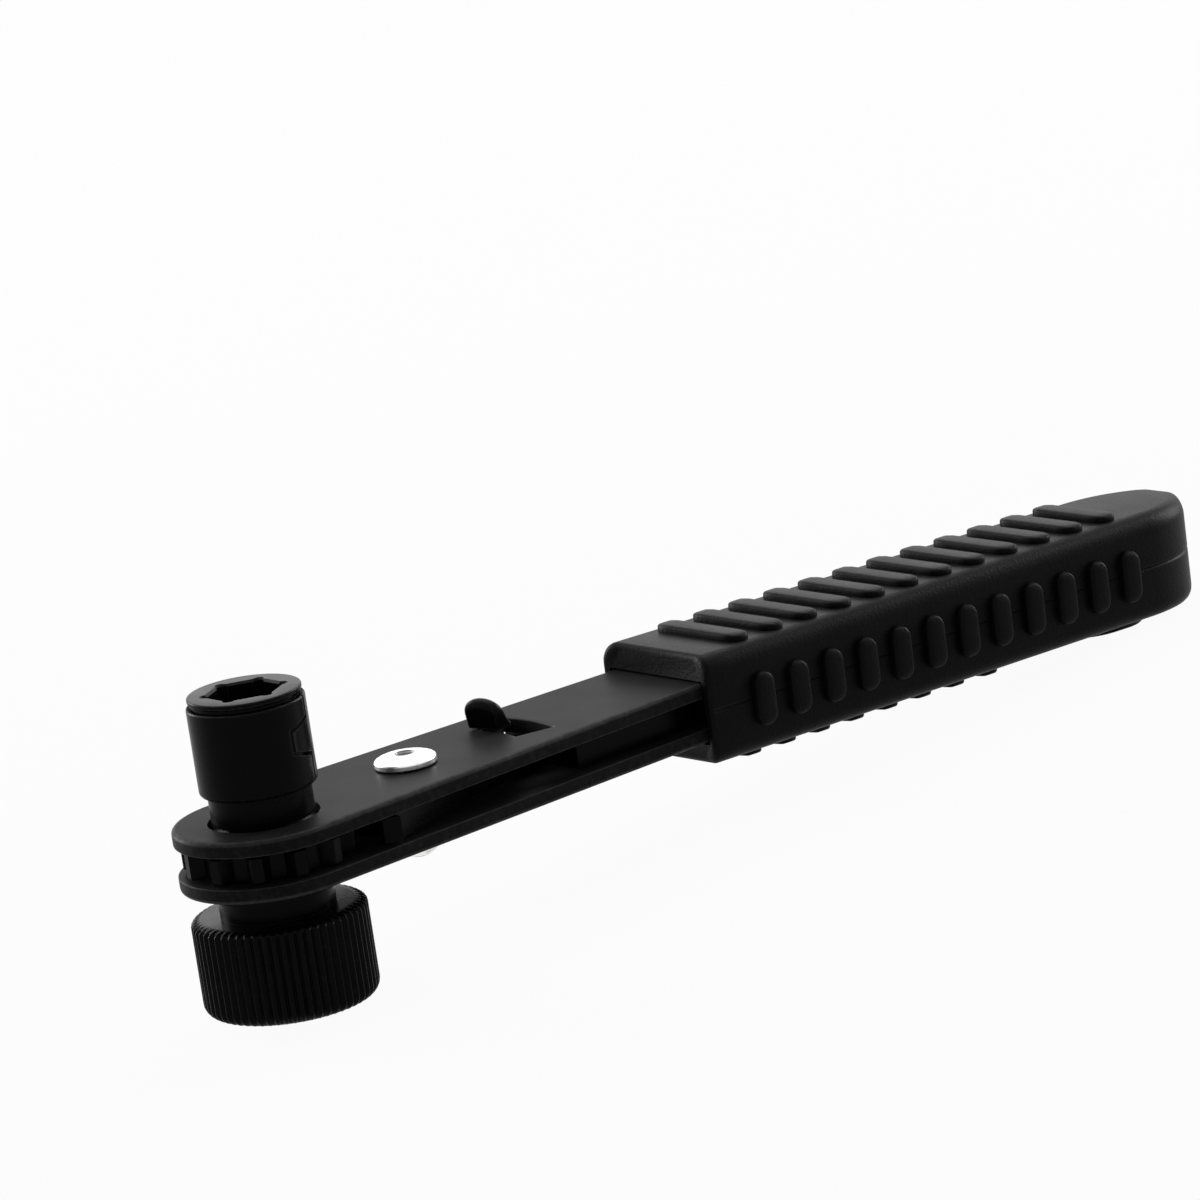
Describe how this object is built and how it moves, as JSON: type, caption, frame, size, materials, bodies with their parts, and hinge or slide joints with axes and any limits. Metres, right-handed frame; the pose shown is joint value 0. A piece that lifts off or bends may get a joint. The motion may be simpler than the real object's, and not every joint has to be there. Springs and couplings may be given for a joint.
{
  "type": "reversible ratchet",
  "caption": "Short right-angle ratchet with a hex bit socket above the head, a knurled thumbwheel below, a reversing thumb lever on the plates and a ribbed rubber grip.",
  "frame": {"origin": "on the drive axis, where the end of a bit seats in the hex socket", "axes": "+X along the handle to the far end of the grip, +Z out of the socket's mouth, +Y across the plates"},
  "size_m": [0.1271, 0.0176, 0.0304],
  "materials": {
    "plate_black": "satin",
    "steel_black": "satin",
    "rivet_steel": "bright",
    "spring_steel": "brushed",
    "rubber_black": "matte"
  },
  "bodies": {
    "handle": {"top_plate": "plate_black", "bottom_plate": "plate_black", "handle_spacer": "steel_black", "pivot_rivet": "rivet_steel", "pivot_bush": "spring_steel", "handle_rivet_front": "spring_steel", "handle_rivet_rear": "spring_steel", "grip": "rubber_black", "detent_spring": "spring_steel"},
    "drive": {"ratchet_gear": "steel_black", "bit_socket": "steel_black", "socket_sleeve": "steel_black", "bit_retaining_ring": "steel_black", "bit_magnet": "spring_steel", "thumbwheel": "steel_black", "thumbwheel_screw": "spring_steel", "thrust_washer": "steel_black"},
    "selector": {"pawl": "steel_black", "reversing_lever": "steel_black"},
    "detent": {"detent_ball": "spring_steel"}
  },
  "joints": [
    {"name": "drive_turn", "type": "hinge", "parent": "handle", "child": "drive", "pos_m": [0, 0, 0], "axis": [0, 0, 1], "continuous": true},
    {"name": "selector_swing", "type": "hinge", "parent": "handle", "child": "selector", "pos_m": [0.0171, 0, -0.0052], "axis": [0, 0, 1], "range_deg": [-19, 0]},
    {"name": "detent_slide", "type": "slide", "parent": "handle", "child": "detent", "axis": [1, 0, 0], "range_m": [-0.0005, 0], "stiffness_N_per_m": 2000, "springref_m": -0.0008, "deforming": ["detent_spring"]}
  ]
}
